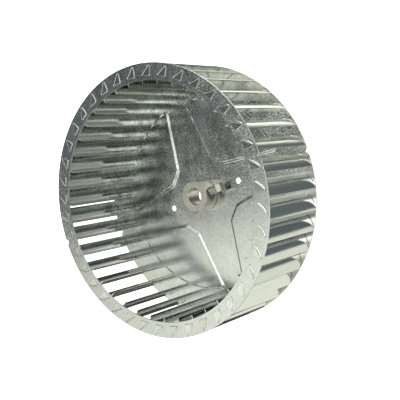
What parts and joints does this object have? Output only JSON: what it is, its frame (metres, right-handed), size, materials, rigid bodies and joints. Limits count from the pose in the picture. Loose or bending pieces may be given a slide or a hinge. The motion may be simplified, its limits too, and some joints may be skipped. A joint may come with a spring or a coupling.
{
  "type": "blower wheel",
  "caption": "Forward-curved centrifugal blower wheel of galvanised sheet, with tabbed blades between a slotted ring and a stamped back plate, and a hub with a square-head set screw.",
  "frame": {"origin": "centre of the base, on the wheel's axis, level with the folded tabs behind the back plate", "axes": "+Z along the wheel's axis, towards the inlet; +X along the plate arm that the set screw lies over, from the axis towards the screw's head"},
  "size_m": [0.25, 0.25, 0.081],
  "materials": {
    "galvanised_sheet": "galvanised sheet with faint spangle",
    "plated_hub": "turned and zinc plated",
    "plated_screw": "bright zinc plated"
  },
  "bodies": {
    "wheel": {"front_ring": "galvanised_sheet", "back_plate": "galvanised_sheet", "hub": "plated_hub", "blade_01": "galvanised_sheet", "blade_02": "galvanised_sheet", "blade_03": "galvanised_sheet", "blade_04": "galvanised_sheet", "blade_05": "galvanised_sheet", "blade_06": "galvanised_sheet", "blade_07": "galvanised_sheet", "blade_08": "galvanised_sheet", "blade_09": "galvanised_sheet", "blade_10": "galvanised_sheet", "blade_11": "galvanised_sheet", "blade_12": "galvanised_sheet", "blade_13": "galvanised_sheet", "blade_14": "galvanised_sheet", "blade_15": "galvanised_sheet", "blade_16": "galvanised_sheet", "blade_17": "galvanised_sheet", "blade_18": "galvanised_sheet", "blade_19": "galvanised_sheet", "blade_20": "galvanised_sheet", "blade_21": "galvanised_sheet", "blade_22": "galvanised_sheet", "blade_23": "galvanised_sheet", "blade_24": "galvanised_sheet", "blade_25": "galvanised_sheet", "blade_26": "galvanised_sheet", "blade_27": "galvanised_sheet", "blade_28": "galvanised_sheet", "blade_29": "galvanised_sheet", "blade_30": "galvanised_sheet", "blade_31": "galvanised_sheet", "blade_32": "galvanised_sheet", "blade_33": "galvanised_sheet", "blade_34": "galvanised_sheet", "blade_35": "galvanised_sheet", "blade_36": "galvanised_sheet", "blade_37": "galvanised_sheet", "blade_38": "galvanised_sheet", "blade_39": "galvanised_sheet", "blade_40": "galvanised_sheet"},
    "screw": {"set_screw": "plated_screw"}
  },
  "joints": [
    {"name": "set_screw_travel", "type": "slide", "parent": "wheel", "child": "screw", "axis": [-1, 0, 0], "range_m": [-0.003, 0.0086]}
  ]
}
